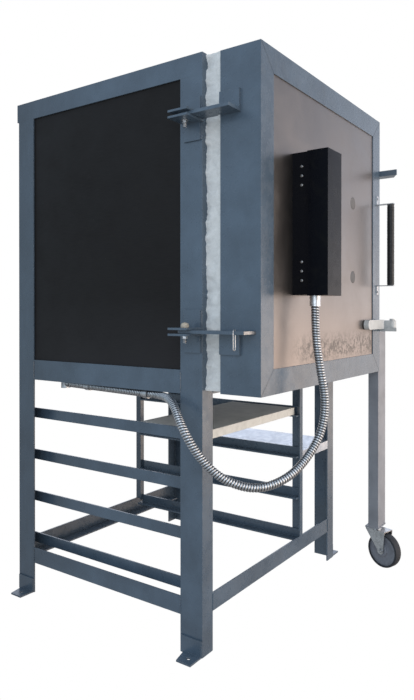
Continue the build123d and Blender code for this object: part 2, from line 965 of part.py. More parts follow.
def controller():
    x1 = cabinet_x()[1]
    half = controller_size / 2
    inner = half - controller_bezel
    bezel = block(x1, x1 + controller_bezel, probe_y() - half, probe_y() + half,
                  controller_z - half, controller_z + half)
    return bezel + block(x1 - controller_depth, x1, probe_y() - inner, probe_y() + inner,
                         controller_z - inner, controller_z + inner)


def power_switch():
    x1 = cabinet_x()[1] + soft_clearance
    knob = rod_x(x1, x1 + knob_height / 3, probe_y(), knob_z, knob_radius)
    knob += block(x1, x1 + knob_height, probe_y() - knob_radius / 4, probe_y() + knob_radius / 4,
                  knob_z - knob_radius * 0.9, knob_z + knob_radius * 0.9)
    return knob + rod_x(x1 - knob_height, x1, probe_y(), knob_z, knob_shaft_radius)


def contactors():
    deep, wide, tall = contactor_size
    x0 = cabinet_x()[0] + cabinet_sheet
    blocks = []
    for side in (-1, 1):
        y = probe_y() + side * contactor_pitch
        blocks.append(block(x0, x0 + deep, y - wide / 2, y + wide / 2,
                            contactor_z, contactor_z + tall))
    return blocks


def power_gland():
    x = sum(cabinet_x()) / 2
    y = probe_y()
    z = cabinet_bottom
    gland = hexagon_z(z - gland_height * 0.3, z, x, y, gland_radius * 2)
    gland += rod_z(z - gland_height, z - gland_height * 0.3, x, y, gland_radius * 0.85)
    gland += rod_z(z, z + cabinet_sheet + locknut_height * 2, x, y, gland_radius * 0.7)
    return gland - rod_z(z - gland_height - 1, z + gland_height, x, y, gland_bore)


def thermocouple():
    tip = chamber_right - probe_reach
    base = cabinet_x()[0] + cabinet_sheet
    sheath = rod_x(tip, base, probe_y(), probe_z, probe_radius)
    half = probe_head / 2
    return sheath + block(base, base + probe_head, probe_y() - half, probe_y() + half,
                          probe_z - half, probe_z + half)


# Flexible conduit: a ribbed steel hose from the element box to the rail under the body
def unit(a, b):
    return (Vector(*b) - Vector(*a)).normalized()


def run_ends():
    start = (left + run_start_x, front + run_start_y, joint_z)
    end = (left + run_end_x, front + run_end_y, joint_z)
    return start, end


def hose_route():
    """Points of the hose's route, from the box down and back to the clipped run."""
    top = box_bottom + box_step - connector_height
    exit_point = (left + connector_x, front + connector_y, top)
    below = (left + connector_x, front + connector_y, top - 82.7)
    free = [(left + x, front + y, z) for x, y, z in hose_points]
    start, end = run_ends()
    along = unit(start, end)
    before = Vector(*start) - along * last_run
    return [exit_point, below, *free, (before.X, before.Y, before.Z), start]


def corner_radii(points):
    """Arc radius at each corner, as large as its two runs allow."""
    radii = []
    for before, corner, after in zip(points, points[1:], points[2:]):
        turn = math.radians(unit(before, corner).get_angle(unit(corner, after)))
        run = min((Vector(*corner) - Vector(*before)).length,
                  (Vector(*after) - Vector(*corner)).length)
        radii.append(0.45 * run / math.tan(turn / 2))
    return radii


def hose_path():
    route = hose_route()
    radii = corner_radii(route)
    print("conduit arc radii", [round(r) for r in radii])
    return FilletPolyline(*route, radius=radii)


def ribbed_tube(path, across):
    """Ribbed hose with its bore along a path, carrying one section's sideways direction to the next."""
    length = path.length
    count = int((length - 4 * conduit_radius) / rib_pitch)
    margin = (length - count * rib_pitch) / 2
    profile = ((0.0, conduit_root_radius), (0.2, conduit_radius), (0.6, conduit_radius),
               (0.8, conduit_root_radius))
    stations = [(0, conduit_root_radius)]
    for i in range(count):
        for share, radius in profile:
            stations.append((margin + (i + share) * rib_pitch, radius))
    stations.append((length, conduit_root_radius))
    outside = []
    inside = []
    for at, radius in stations:
        origin = path.position_at(at, position_mode=PositionMode.LENGTH)
        along = path.tangent_at(at, position_mode=PositionMode.LENGTH)
        across = (across - along * across.dot(along)).normalized()
        plane = Plane(origin=origin, x_dir=across, z_dir=along)
        outside.append(Wire.make_circle(radius, plane))
        inside.append(Wire.make_circle(conduit_bore_radius, plane))
    outer = Solid.make_loft(outside, ruled=True)
    bore = Solid.make_loft(inside, ruled=True)
    print("ribs", count, "length", round(length, 1), "volume", round(outer.volume - bore.volume))
    return outer - bore


def door_conduit():
    return ribbed_tube(hose_path(), Vector(1, 0, 0))


def conduit_run():
    return ribbed_tube(Wire(Edge.make_line(*run_ends())), Vector(0, 0, 1))


def conduit_connector():
    x = left + connector_x
    y = front + connector_y
    z1 = box_bottom + box_step
    z0 = z1 - connector_height
    body = rod_z(z0, z1, x, y, connector_radius)
    inside = z1 + box_sheet
    return body + rod_z(z1, inside + locknut_height, x, y, nipple_radius) + rod_z(
        inside, inside + locknut_height, x, y, locknut_radius)


def elbow_corner():
    start, end = run_ends()
    corner = Vector(*end) + unit(start, end) * elbow_length
    return corner.X, corner.Y


def conduit_elbow():
    start, end = run_ends()
    along = unit(start, end)
    barrel_plane = Plane(origin=end, z_dir=along)
    barrel_radius = conduit_drop - soft_clearance
    barrel = barrel_plane * Pos(0, 0, elbow_length / 2) * Cylinder(barrel_radius, elbow_length)
    low = joint_z - connector_radius
    x, y = elbow_corner()
    riser = rod_z(low, pan_bottom, x, y, connector_radius)
    return barrel + riser + rod_z(pan_bottom, pan_top - soft_clearance, x, y, nipple_radius)


def conduit_clamp(distance):
    start, end = run_ends()
    along = unit(start, end)
    centre = Vector(*start) + along * distance
    outer = conduit_radius + soft_clearance + clamp_thickness
    across = Plane(origin=centre, x_dir=(0, 0, 1), z_dir=along)
    saddle = across * Cylinder(outer, clamp_width)
    saddle -= across * Cylinder(conduit_radius + soft_clearance, clamp_width + 2)
    saddle -= across * Pos(outer, 0, 0) * Box(2 * (outer - conduit_drop), 4 * outer, clamp_width * 2)
    to_leg = 1 if centre.X < left + base_rail_leg / 2 else -1
    root = centre.X + to_leg * (conduit_radius + soft_clearance)
    tab = block(root, root + to_leg * clamp_tab,
                centre.Y - clamp_width / 2, centre.Y + clamp_width / 2,
                base_rail_bottom - clamp_thickness, base_rail_bottom)
    return saddle + tab


save("front_left_post", post(left, 1, front, 1))
save("front_right_post", post(right, -1, front, 1))
save("rear_left_post", post(left, 1, back, -1))
save("rear_right_post", post(right, -1, back, -1))
save("foot_clips", *foot_clips())
save("top_ring", top_ring())
save("base_side_rails", base_side_rail(left, 1), base_side_rail(right, -1))
save("base_cross_rails", base_cross_rail(front, 1), base_cross_rail(back, -1))
save("lower_left_rail", lower_left_rail())
save("lower_cross_rails", lower_cross_rail(front, 1), lower_cross_rail(back, -1))
save("rack_uprights", rack_upright(front), rack_upright(back - upright_side_leg))
save("left_shelf_runners", *[left_runner(z) for z in runner_bottoms()])
save("right_shelf_runners", *[right_runner(z) for z in runner_bottoms()])
save("side_tray", side_tray())
save("left_cover", side_cover(cover_left, inner_left))
save("right_cover", right_cover())
save("rear_cover", rear_cover())
save("top_cover", top_cover())
save("floor_pan", floor_pan())
save("hearth_bricks", hearth_bricks())
save("left_bricks", side_bricks(chamber_left, -1))
save("right_bricks", right_bricks())
save("rear_bricks", rear_bricks())
save("roof_bricks", roof_bricks())
save("fibre_gasket", fibre_gasket())
wall_pairs = row_pairs(wall_row_heights())
left_loops = [side_element(chamber_left, -1, low, high) for low, high in wall_pairs]
right_loops = [side_element(chamber_right, 1, low, high) for low, high in wall_pairs]
save("wall_elements", *left_loops, *right_loops)
save("thermocouple", thermocouple())
save("hinge_lugs", *hinge_lugs())
save("hinge_bolts", *[hinge_bolt(z) for z in hinge_heights])
save("control_cabinet", control_cabinet())
save("cabinet_cover", cabinet_cover())
save("contactors", *contactors())
save("controller", controller())
save("power_switch", power_switch())
save("power_gland", power_gland())
save("conduit_run", conduit_run())
save("conduit_elbow", conduit_elbow())
save("conduit_clamps", *[conduit_clamp(distance) for distance in clamp_places])
save("latch_arms", *latch_arms())
save("latch_lever", latch_lever())
save("latch_keeper", latch_keeper())
save("door_frame", door_frame())
save("door_panel", door_panel())
save("door_bricks", door_bricks())
save("door_hinge_straps", *door_straps())
save("element_box_base", element_box_base())
save("element_box_cover", element_box_cover())
save("element_box_screws", *element_box_screws())
save("door_elements", *[door_element(low, high) for low, high in row_pairs(door_row_heights)])
save("handle_grip", handle_grip())
save("handle_brackets", *handle_brackets())
save("door_leg", door_leg())
upper_peep, lower_peep = peep_heights
save("upper_peep_plug", peep_plug(upper_peep))
save("lower_peep_plug", peep_plug(lower_peep))
save("conduit_connector", conduit_connector())
save("door_conduit", door_conduit())
save("caster_fork", turned(caster_fork()), turned(caster_axle()))
save("caster_wheel", turned(caster_wheel()))
save("stored_shelf", stored_shelf())
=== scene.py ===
import math

import bmesh
import bpy
import numpy as np
from mathutils import Matrix, Vector, noise


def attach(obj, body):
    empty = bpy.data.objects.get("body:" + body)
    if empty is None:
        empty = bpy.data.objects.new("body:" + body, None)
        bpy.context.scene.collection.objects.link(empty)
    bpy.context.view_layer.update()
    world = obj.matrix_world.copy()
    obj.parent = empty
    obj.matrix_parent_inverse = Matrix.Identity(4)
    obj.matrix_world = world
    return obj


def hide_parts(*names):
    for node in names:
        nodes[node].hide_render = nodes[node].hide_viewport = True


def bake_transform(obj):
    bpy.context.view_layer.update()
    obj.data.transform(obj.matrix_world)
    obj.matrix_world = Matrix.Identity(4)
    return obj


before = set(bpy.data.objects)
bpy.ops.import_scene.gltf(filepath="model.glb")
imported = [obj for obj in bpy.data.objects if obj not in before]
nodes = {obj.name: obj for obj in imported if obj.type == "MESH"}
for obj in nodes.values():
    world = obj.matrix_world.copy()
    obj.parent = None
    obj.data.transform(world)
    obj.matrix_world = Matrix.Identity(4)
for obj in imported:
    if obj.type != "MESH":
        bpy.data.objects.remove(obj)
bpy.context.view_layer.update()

# Left front corner of the frame, metres
LEFT = -0.440
FRONT = -0.379


def at(x, y, z):
    """Point in metres from millimetres right of, behind and above the frame's left front corner."""
    return Vector((LEFT + x / 1000, FRONT + y / 1000, z / 1000))


# Materials
BEVEL_SAMPLES = 4


def times(colour, share):
    """A colour made darker or lighter."""
    return tuple(c * share for c in colour)


class Nodes:
    """A tree of shader nodes being made."""

    def __init__(self, tree):
        self.tree = tree
        self.tree.nodes.clear()

    def node(self, kind, **settings):
        made = self.tree.nodes.new(kind)
        for key, value in settings.items():
            setattr(made, key, value)
        return made

    def put(self, socket, value):
        if isinstance(value, bpy.types.NodeSocket):
            self.tree.links.new(value, socket)
        elif isinstance(value, tuple) and len(value) == 3 and socket.type == "RGBA":
            socket.default_value = (*value, 1.0)
        else:
            socket.default_value = value

    def ramp(self, factor, *stops):
        made = self.node("ShaderNodeValToRGB")
        self.put(made.inputs[0], factor)
        points = made.color_ramp.elements
        while len(points) < len(stops):
            points.new(0.5)
        for point, (place, colour) in zip(points, stops):
            point.position = place
            point.color = (*colour, 1) if isinstance(colour, tuple) else (colour,) * 3 + (1,)
        return made.outputs[0]

    def mix(self, factor, a, b):
        made = self.node("ShaderNodeMix", data_type="RGBA")
        self.put(made.inputs["Factor"], factor)
        self.put(made.inputs["A"], a)
        self.put(made.inputs["B"], b)
        return made.outputs["Result"]

    def math(self, operation, a, b, clamp=False):
        made = self.node("ShaderNodeMath", operation=operation, use_clamp=clamp)
        self.put(made.inputs[0], a)
        self.put(made.inputs[1], b)
        return made.outputs[0]

    def part(self, vector, axis):
        split = self.node("ShaderNodeSeparateXYZ")
        self.put(split.inputs[0], vector)
        return split.outputs[axis]


class Shade(Nodes):
    """A material being made from nodes, lengths in metres."""

    def __init__(self, name, roughness=0.5, metallic=0.0, specular=0.5):
        self.material = bpy.data.materials.new(name)
        self.material.use_nodes = True
        super().__init__(self.material.node_tree)
        out = self.node("ShaderNodeOutputMaterial")
        self.bsdf = self.node("ShaderNodeBsdfPrincipled")
        self.put(out.inputs["Surface"], self.bsdf.outputs[0])
        self.set("Roughness", roughness)
        self.set("Metallic", metallic)
        self.set("Specular IOR Level", specular)
        self.coords = self.node("ShaderNodeTexCoord").outputs["Object"]
        self.geometry = self.node("ShaderNodeNewGeometry")
        self.normal = None

    def set(self, name, value):
        self.put(self.bsdf.inputs[name], value)

    def scaled(self, x, y, z):
        """Coordinates stretched along each axis, for grain."""
        mapping = self.node("ShaderNodeMapping")
        self.put(mapping.inputs["Vector"], self.coords)
        mapping.inputs["Scale"].default_value = (x, y, z)
        return mapping.outputs[0]

    def noise(self, scale, detail=4, roughness=0.55, distortion=0.0, vector=None):
        made = self.node("ShaderNodeTexNoise")
        self.put(made.inputs["Vector"], vector or self.coords)
        self.put(made.inputs["Scale"], scale)
        self.put(made.inputs["Detail"], detail)
        self.put(made.inputs["Roughness"], roughness)
        self.put(made.inputs["Distortion"], distortion)
        return made.outputs["Fac"]

    def cells(self, scale):
        made = self.node("ShaderNodeTexVoronoi")
        self.put(made.inputs["Vector"], self.coords)
        self.put(made.inputs["Scale"], scale)
        return made.outputs["Distance"]

    def facing_up(self):
        """How much the surface faces up, from 0 to 1."""
        return self.math("MULTIPLY", self.part(self.geometry.outputs["Normal"], 2), 1.0, True)

    def bump(self, height, strength, distance):
        made = self.node("ShaderNodeBump")
        self.put(made.inputs["Height"], height)
        self.put(made.inputs["Strength"], strength)
        self.put(made.inputs["Distance"], distance)
        if self.normal:
            self.put(made.inputs["Normal"], self.normal)
        self.normal = made.outputs[0]
        self.set("Normal", self.normal)

    def rounded(self, radius):
        made = self.node("ShaderNodeBevel", samples=BEVEL_SAMPLES)
        self.put(made.inputs["Radius"], radius)
        self.normal = made.outputs[0]
        self.set("Normal", self.normal)

    def edges(self, radius):
        """Bright where the surface turns within a radius, for worn edges."""
        made = self.node("ShaderNodeBevel", samples=BEVEL_SAMPLES)
        self.put(made.inputs["Radius"], radius)
        dot = self.node("ShaderNodeVectorMath", operation="DOT_PRODUCT")
        self.put(dot.inputs[0], made.outputs[0])
        self.put(dot.inputs[1], self.geometry.outputs["True Normal"])
        return self.ramp(dot.outputs["Value"], (0.75, 1.0), (0.97, 0.0))

    def colour(self, value):
        self.set("Base Color", value)


CHIPPED = (0.45, 0.46, 0.47)
SPECK = (0.3, 0.31, 0.33)


def painted(name, base, roughness=0.27, wear=0.6, low_base=None, low_height=0.0):
    """Brushed-on machine paint: slight mottle, dust and chipped edges over grey steel.

    It is darker toward the back, which is painted shade. Below low_height metres it takes low_base, if
    that is given.
    """
    s = Shade(name, roughness, 0.0, 0.8)
    s.rounded(0.0012)
    mottle = s.noise(9.0, 5, 0.6)
    dark = times(base, 0.8)
    light = tuple(min(1, c * 1.16 + 0.004) for c in base)
    tone = s.ramp(mottle, (0.3, dark), (0.7, light))
    if low_base:
        is_low = s.math("LESS_THAN", s.part(s.coords, 2), low_height)
        tone = s.mix(is_low, tone, s.ramp(mottle, (0.3, times(low_base, 0.8)), (0.7, low_base)))
    # Painted shade: the paint is made darker toward the back, where less light falls.
    painted_rear_shade = s.ramp(s.part(s.coords, 1), (-0.2, 0.0), (0.4, 0.5))
    tone = s.mix(painted_rear_shade, tone, times(base, 0.2))
    streak = s.noise(4.0, 4, 0.7, 0.2, s.scaled(14, 14, 1.3))
    tone = s.mix(s.ramp(streak, (0.52, 0.0), (0.78, 0.25)), tone, light)
    patches = s.ramp(s.noise(160, 3, 0.6), (0.56, 0.0), (0.66, wear))
    tone = s.mix(s.math("MULTIPLY", s.edges(0.0016), patches), tone, CHIPPED)
    specks = s.ramp(s.cells(70), (0.012, 0.5), (0.03, 0.0))
    rare = s.ramp(s.noise(23, 2), (0.6, 0.0), (0.66, 1.0))
    tone = s.mix(s.math("MULTIPLY", specks, rare), tone, SPECK)
    s.colour(tone)
    s.set("Roughness", s.ramp(s.noise(30, 4, 0.6), (0.3, roughness - 0.06), (0.7, roughness + 0.1)))
    s.bump(s.noise(420, 3, 0.5), 0.1, 0.0004)
    s.bump(s.noise(26, 3, 0.5), 0.12, 0.0012)
    return s.material


def cover_paint():
    """Dark brown-black cover sheet with a fine crosswise grain."""
    s = Shade("cover_sheet", 0.5, 0.0, 0.2)
    fine = s.noise(1.0, 3, 0.7, 0.0, s.scaled(25, 25, 1150))
    wide = s.noise(2.2, 3, 0.5, 0.3)
    tone = s.ramp(fine, (0.32, (0.0045, 0.0036, 0.0033)), (0.7, (0.014, 0.0118, 0.0112)))
    pale = s.ramp(wide, (0.35, 0.0), (0.75, 0.45))
    # Lighter toward the bottom, below about 1.5 m, in uneven patches.
    low = s.ramp(s.part(s.coords, 2), (0.75, 0.45), (1.5, 0.0))
    tone = s.mix(pale, tone, (0.015, 0.0135, 0.0135))
    lighter_low_down = s.math("MULTIPLY", low, s.ramp(s.noise(1.5, 2), (0.3, 0.2), (0.7, 1.0)))
    tone = s.mix(lighter_low_down, tone, (0.05, 0.048, 0.053))
    tone = s.mix(s.ramp(s.cells(31), (0.008, 0.7), (0.02, 0.0)), tone, (0.17, 0.16, 0.15))
    s.colour(tone)
    s.set("Roughness", s.ramp(s.noise(12, 3), (0.3, 0.42), (0.7, 0.58)))
    s.bump(fine, 0.12, 0.0003)
    return s.material


def brushed(name, base, roughness, grain, metallic=1.0, cloud=0.25):
    """Sheet steel with fine grain lines and clouds, its base colour not set yet."""
    s = Shade(name, roughness, metallic)
    lines = s.noise(1.0, 3, 0.7, 0.0, s.scaled(*grain))
    clouds = s.noise(5.0, 5, 0.6, 0.4)
    dark = times(base, 1 - cloud)
    light = tuple(min(1, c * (1 + cloud * 0.6)) for c in base)
    cloudy = s.ramp(clouds, (0.3, dark), (0.7, light))
    return s, s.mix(s.ramp(lines, (0.35, 0.0), (0.65, 0.5)), cloudy, light), lines


# Painted reflection on the door panel: warm from the ground low down, cool from shade and sky high up.
PANEL_WARM_REFLECTION = (0.33, 0.28, 0.255)
PANEL_MIDDLE = (0.245, 0.225, 0.215)
PANEL_COOL_REFLECTION = (0.29, 0.285, 0.315)
PANEL_SMUDGE = (0.16, 0.15, 0.14)


def door_steel():
    """Brushed stainless door sheet: hazy, with a warm painted reflection low down and a cooler painted
    reflection high up, smudged above the bottom trim.
    """
    s, tone, lines = brushed("door_steel", (0.23, 0.215, 0.21), 0.36, (3, 3, 900))
    height = s.part(s.coords, 2)
    # Painted reflection by height: warm low down, cooler high up.
    warm = s.ramp(height, (0.82, PANEL_WARM_REFLECTION), (1.2, PANEL_MIDDLE))
    cool = s.ramp(height, (1.2, PANEL_MIDDLE), (1.6, PANEL_COOL_REFLECTION))
    by_height = s.mix(s.ramp(height, (1.19, 0.0), (1.21, 1.0)), warm, cool)
    tone = s.mix(0.72, tone, by_height)
    side = s.part(s.coords, 0)
    band = s.math("MULTIPLY", s.ramp(height, (0.803, 0.2), (0.82, 1.0)),
                  s.ramp(height, (0.86, 1.0), (0.90, 0.0)))
    across = s.ramp(s.math("ADD", side, 0.5), (0.22, 0.0), (0.36, 1.0))
    scuff = s.ramp(s.noise(65, 6, 0.78, 1.0), (0.46, 0.0), (0.56, 0.75))
    smudge = s.math("MULTIPLY", s.math("MULTIPLY", band, across), scuff)
    tone = s.mix(smudge, tone, PANEL_SMUDGE)
    s.colour(tone)
    rough = s.ramp(s.noise(7, 5, 0.65, 0.5), (0.3, 0.28), (0.7, 0.40))
    s.set("Roughness", s.mix(smudge, rough, (0.7, 0.7, 0.7)))
    s.bump(lines, 0.05, 0.0002)
    s.bump(s.noise(3.5, 2, 0.5), 0.25, 0.006)
    return s.material


def sheet_steel(name, base, roughness=0.35):
    """Galvanised sheet with its spangle."""
    s, tone, lines = brushed(name, base, roughness, (4, 400, 4), 0.85)
    spangle = s.cells(90)
    tone = s.mix(s.ramp(spangle, (0.2, 0.0), (0.8, 0.35)), tone, times(base, 0.75))
    s.colour(tone)
    s.set("Roughness", s.ramp(s.noise(60, 3), (0.3, roughness - 0.08), (0.7, roughness + 0.14)))
    s.bump(lines, 0.05, 0.0002)
    return s.material


def plated(name, base=(0.6, 0.61, 0.62), roughness=0.26):
    """Zinc plating with a little tarnish."""
    s = Shade(name, roughness, 1.0)
    s.rounded(0.0004)
    tarnish = s.noise(70, 4, 0.65)
    tone = s.ramp(tarnish, (0.3, times(base, 0.62)), (0.65, base))
    s.colour(tone)
    s.set("Roughness", s.ramp(s.noise(130, 3), (0.3, roughness - 0.06), (0.7, roughness + 0.18)))
    s.bump(s.noise(600, 2), 0.08, 0.0002)
    return s.material


def gloss_black(name, roughness=0.16):
    """Black enamelled sheet, a little wavy and dusty."""
    s = Shade(name, roughness, 0.0, 0.1)
    s.rounded(0.0012)
    dust = s.ramp(s.noise(14, 6, 0.7, 0.6), (0.5, 0.0), (0.8, 0.5))
    s.colour(s.mix(dust, (0.0018, 0.0022, 0.0045), (0.012, 0.0115, 0.009)))
    s.set("Roughness", s.ramp(s.noise(20, 5, 0.6), (0.3, roughness - 0.05), (0.7, roughness + 0.2)))
    s.bump(s.noise(8, 2), 0.2, 0.003)
    s.bump(s.noise(900, 2), 0.06, 0.0002)
    return s.material


def moulded(name, base, roughness=0.45):
    """Moulded plastic with a fine grain."""
    s = Shade(name, roughness)
    s.rounded(0.0006)
    s.colour(s.ramp(s.noise(60, 3), (0.3, times(base, 0.8)), (0.7, base)))
    s.set("Roughness", s.ramp(s.noise(90, 3), (0.3, roughness - 0.08), (0.7, roughness + 0.1)))
    s.bump(s.noise(1400, 2), 0.12, 0.0002)
    return s.material


def rubber(name, base):
    """Worn, dusty rubber."""
    s = Shade(name, 0.7)
    worn = s.noise(45, 5, 0.65)
    s.colour(s.ramp(worn, (0.35, base), (0.75, times(base, 2.1))))
    s.set("Roughness", s.ramp(worn, (0.3, 0.55), (0.7, 0.85)))
    s.bump(s.noise(700, 3), 0.15, 0.0003)
    return s.material


COURSES = (("Scale", 1.0), ("Brick Width", 0.229), ("Row Height", 0.1143),
           ("Mortar Size", 0.0009), ("Mortar Smooth", 0.3))


def firebrick(name, base, courses=True):
    """Insulating firebrick with open pores, in courses with thin joints unless it is one piece."""
    s = Shade(name, 0.9, 0.0, 0.2)
    tone = s.ramp(s.noise(24, 6, 0.7), (0.3, times(base, 0.84)), (0.72, base))
    pores = s.ramp(s.cells(420), (0.05, 1.0), (0.22, 0.0))
    pores = s.math("MULTIPLY", pores, s.ramp(s.noise(80, 3), (0.42, 0.0), (0.6, 1.0)))
    tone = s.mix(pores, tone, times(base, 0.45))
    height = s.noise(500, 4, 0.6)
    if courses:
        along = s.math("ADD", s.part(s.coords, 0), s.part(s.coords, 1))
        flat = s.node("ShaderNodeCombineXYZ")
        s.put(flat.inputs[0], along)
        s.put(flat.inputs[1], s.part(s.coords, 2))
        wall = s.node("ShaderNodeTexBrick")
        s.put(wall.inputs["Vector"], flat.outputs[0])
        for key, value in COURSES:
            s.put(wall.inputs[key], value)
        tone = s.mix(s.math("MULTIPLY", wall.outputs["Fac"], 0.8), tone, times(base, 0.38))
        s.bump(wall.outputs["Fac"], -0.6, 0.002)
    s.colour(tone)
    s.bump(height, 0.4, 0.0008)
    s.bump(pores, -0.6, 0.001)
    return s.material


def fibre():
    """Matted ceramic fibre: soft, uneven, off-white grey."""
    s = Shade("ceramic_fibre", 1.0, 0.0, 0.05)
    lumps = s.noise(55, 6, 0.7, 0.8)
    tone = s.ramp(lumps, (0.28, (0.60, 0.61, 0.60)), (0.7, (0.82, 0.82, 0.80)))
    lint = s.noise(900, 4, 0.7, 2.0)
    s.colour(s.mix(s.ramp(lint, (0.4, 0.0), (0.65, 0.5)), tone, (0.88, 0.88, 0.86)))
    s.bump(lumps, 0.5, 0.004)
    s.bump(lint, 0.5, 0.0008)
    return s.material


def kiln_shelf():
    """Dense cordierite shelf with a thin, chalky coat on top."""
    s = Shade("kiln_shelf", 0.85, 0.0, 0.2)
    s.rounded(0.002)
    body = s.ramp(s.noise(60, 5, 0.65), (0.3, (0.66, 0.64, 0.58)), (0.7, (0.80, 0.78, 0.72)))
    wash = s.ramp(s.noise(14, 6, 0.7, 0.5), (0.3, (0.44, 0.44, 0.41)), (0.7, (0.58, 0.57, 0.53)))
    s.colour(s.mix(s.facing_up(), body, wash))
    s.bump(s.noise(320, 4, 0.6), 0.3, 0.0006)
    return s.material


def heating_wire():
    """Oxidised resistance wire."""
    s = Shade("heating_wire", 0.55, 0.7)
    s.colour(s.ramp(s.noise(90, 4), (0.3, (0.10, 0.088, 0.08)), (0.7, (0.24, 0.21, 0.19))))
    s.bump(s.noise(1500, 2), 0.2, 0.0002)
    return s.material


def hose_steel():
    """Galvanised strip of the flexible conduit, with painted shade in its grooves."""
    s = Shade("hose_steel", 0.27, 1.0)
    attribute = s.node("ShaderNodeAttribute", attribute_name="groove")
    # Painted shade: the grooves are darkened nearly to black.
    painted_groove_shade = s.ramp(attribute.outputs["Fac"], (0.0, 1.0), (0.6, 0.0))
    tone = s.ramp(s.noise(60, 4, 0.6), (0.3, (0.40, 0.42, 0.44)), (0.7, (0.62, 0.635, 0.65)))
    s.colour(s.mix(painted_groove_shade, tone, (0.05, 0.055, 0.06)))
    s.set("Roughness", s.ramp(s.noise(200, 3), (0.3, 0.2), (0.7, 0.42)))
    return s.material


FRAME_COLOUR = (0.070, 0.104, 0.143)
WORN_WHITE = (0.55, 0.56, 0.55)
BARE_ARM_HEIGHT = 1.2
PAINT = painted("frame_paint", FRAME_COLOUR)
DOOR_PAINT = painted("door_paint", FRAME_COLOUR, 0.25, 0.5)
LEG_PAINT = painted("leg_paint", (0.23, 0.24, 0.265), 0.45, 0.5)
ARM_PAINT = painted("latch_arm_paint", FRAME_COLOUR, 0.3, 0.5, WORN_WHITE, BARE_ARM_HEIGHT)
COVER = cover_paint()
DOOR_STEEL = door_steel()
GALVANISED = sheet_steel("galvanised_sheet", (0.58, 0.62, 0.68), 0.36)
ZINC = plated("zinc_plate")
BARE = plated("bare_steel", (0.42, 0.42, 0.42), 0.34)
BLACK = gloss_black("black_enamel")
CABINET = gloss_black("cabinet_enamel", 0.34)
GRIP = moulded("grip_black", (0.012, 0.012, 0.014), 0.42)
BRICK = firebrick("firebrick", (0.78, 0.72, 0.60))
PLUG = firebrick("plug_ceramic", (0.19, 0.185, 0.185), False)
FIBRE = fibre()
SHELF = kiln_shelf()
WIRE = heating_wire()
HOSE = hose_steel()
LATCH = painted("latch_paint", WORN_WHITE, 0.45, 0.4)
TYRE = rubber("tyre_rubber", (0.017, 0.019, 0.023))
HUB = moulded("wheel_core", (0.21, 0.22, 0.25), 0.5)
CAP = moulded("bolt_cap", (0.52, 0.45, 0.35), 0.5)
CHINA = firebrick("probe_ceramic", (0.78, 0.76, 0.70), False)
ELECTRICS = moulded("electrics_black", (0.03, 0.03, 0.032), 0.5)
SCREEN = gloss_black("display_window", 0.12)
SEAM_SHADOW = moulded("seam_shadow", (0.012, 0.014, 0.018), 0.8)


# Shapes
SHARP_ANGLE = math.radians(35)


def mesh_piece(name, verts, faces, material, body):
    """A smooth mesh object that rides on a body, or on none yet."""
    mesh = bpy.data.meshes.new(name)
    mesh.from_pydata([tuple(v) for v in verts], [], faces)
    mesh.validate()
    mesh.update()
    made = bpy.data.objects.new(name, mesh)
    bpy.context.collection.objects.link(made)
    made.data.materials.append(material)
    tidy = bmesh.new()
    tidy.from_mesh(mesh)
    bmesh.ops.recalc_face_normals(tidy, faces=tidy.faces)
    tidy.to_mesh(mesh)
    tidy.free()
    mesh.shade_smooth()
    if body:
        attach(made, body)
    return made


def join_shapes(*shapes):
    """Put several vertex and face lists together."""
    verts, faces = [], []
    for v, f in shapes:
        base = len(verts)
        verts.extend(v)
        faces.extend([[i + base for i in face] for face in f])
    return verts, faces


def box_shape(low, high, bevel=0.0004):
    """Box between two corners in millimetres, its edges bevelled by metres."""
    low, high = at(*low), at(*high)
    made = bmesh.new()
    bmesh.ops.create_cube(made, size=1.0)
    size = high - low
    middle = (high + low) / 2
    for v in made.verts:
        v.co = Vector((v.co.x * size.x, v.co.y * size.y, v.co.z * size.z)) + middle
    if bevel:
        width = min(bevel, min(size) * 0.45)
        bmesh.ops.bevel(made, geom=made.edges[:], offset=width, segments=2, affect="EDGES", profile=0.5)
    made.verts.index_update()
    verts = [v.co.copy() for v in made.verts]
    faces = [[v.index for v in f.verts] for f in made.faces]
    made.free()
    return verts, faces


def frame_for(axis):
    """An axis and two directions across it."""
    axis = Vector(axis).normalized()
    side = axis.cross(Vector((0, 0, 1)))
    if side.length < 0.01:
        side = Vector((1, 0, 0))
    side.normalize()
    return axis, side, axis.cross(side)


def turned_shape(centre, axis, profile, segments=32, ring=False):
    """Turned shape in millimetres: the profile gives each distance along the axis with its radius.

    Its ends are closed, or its profile is closed in itself if it is a ring.
    """
    centre = at(*centre)
    axis, side, up = frame_for(axis)
    verts, faces = [], []
    for along, radius in profile:
        for k in range(segments):
            angle = 2 * math.pi * k / segments
            verts.append(centre + axis * (along / 1000)
                         + (side * math.cos(angle) + up * math.sin(angle)) * (radius / 1000))
    rows = len(profile)
    for i in range(rows if ring else rows - 1):
        j = (i + 1) % rows
        for k in range(segments):
            n = (k + 1) % segments
            faces.append([i * segments + k, i * segments + n, j * segments + n, j * segments + k])
    if not ring:
        faces.append(list(range(segments))[::-1])
        faces.append([(rows - 1) * segments + k for k in range(segments)])
    return verts, faces


def tube_shape(points, radius, sides):
    """Round bar along points, in metres."""
    verts, faces = [], []
    last = len(points) - 1
    side = None
    for i, point in enumerate(points):
        along = (points[min(i + 1, last)] - points[max(i - 1, 0)]).normalized()
        if side is None:
            side = frame_for(along)[1]
        side = (side - along * side.dot(along)).normalized()
        up = along.cross(side)
        for k in range(sides):
            angle = 2 * math.pi * k / sides
            verts.append(point + (side * math.cos(angle) + up * math.sin(angle)) * radius)
    for i in range(last):
        for k in range(sides):
            n = (k + 1) % sides
            faces.append([i * sides + k, i * sides + n, (i + 1) * sides + n, (i + 1) * sides + k])
    faces.append(list(range(sides))[::-1])
    faces.append([last * sides + k for k in range(sides)])
    return verts, faces


